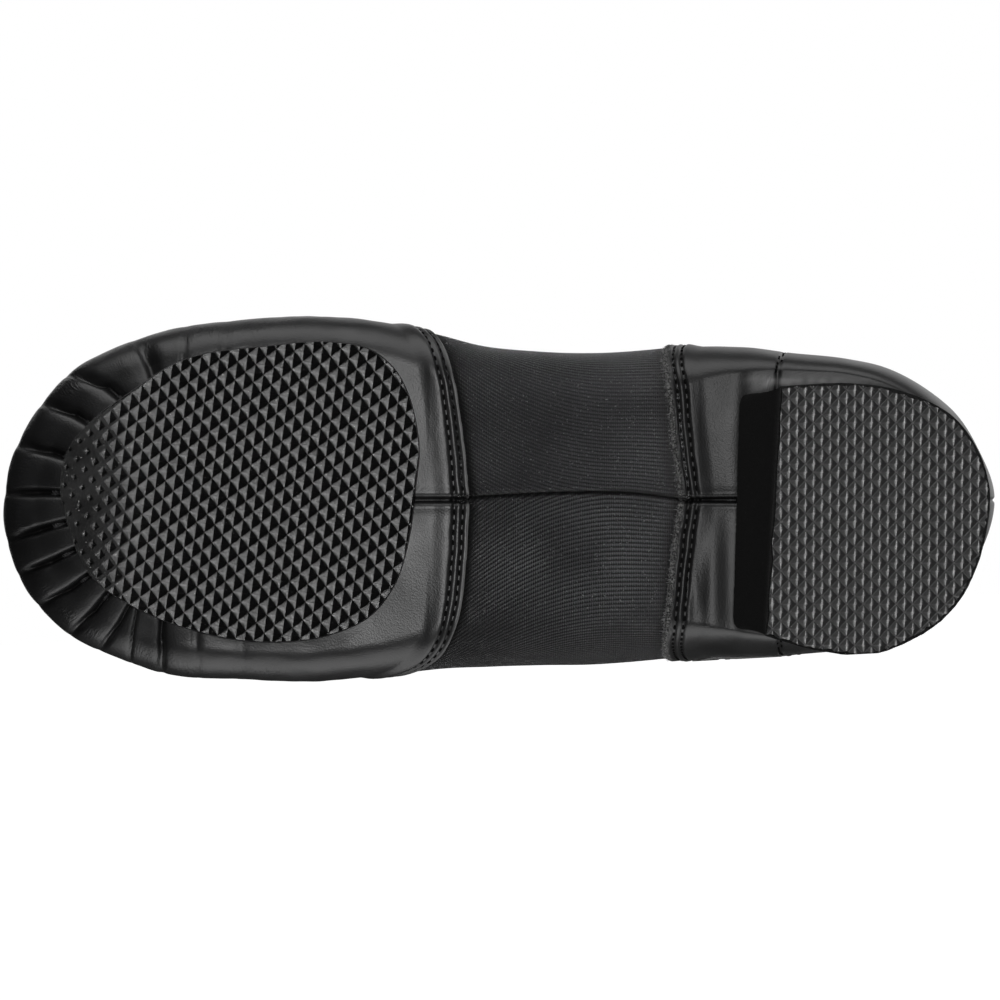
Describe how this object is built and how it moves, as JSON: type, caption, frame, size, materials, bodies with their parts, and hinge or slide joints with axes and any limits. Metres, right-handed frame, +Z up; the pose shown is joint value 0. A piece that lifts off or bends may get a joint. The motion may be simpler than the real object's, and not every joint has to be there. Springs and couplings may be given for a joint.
{
  "type": "jazz shoe",
  "caption": "Left split-sole slip-on jazz shoe, empty, on its inner side: hollow leather upper with a stretch arch, rubber forefoot sole, low foam heel with a rubber tread, insole.",
  "frame": {"origin": "on the floor under the middle of the shoe as it lies on its inner side", "axes": "+X from toe to heel, -Y the way the treads face, +Z up from the floor"},
  "size_m": [0.2448, 0.0748, 0.0904],
  "materials": {
    "upper_leather": "satin",
    "sole_rubber": "matte",
    "heel_foam": "matte",
    "tread_rubber": "matte",
    "insole_fabric": "matte"
  },
  "bodies": {
    "root": {"upper": "upper_leather", "forefoot_sole": "sole_rubber", "heel_block": "heel_foam", "heel_tread": "tread_rubber", "insole": "insole_fabric"}
  },
  "joints": []
}
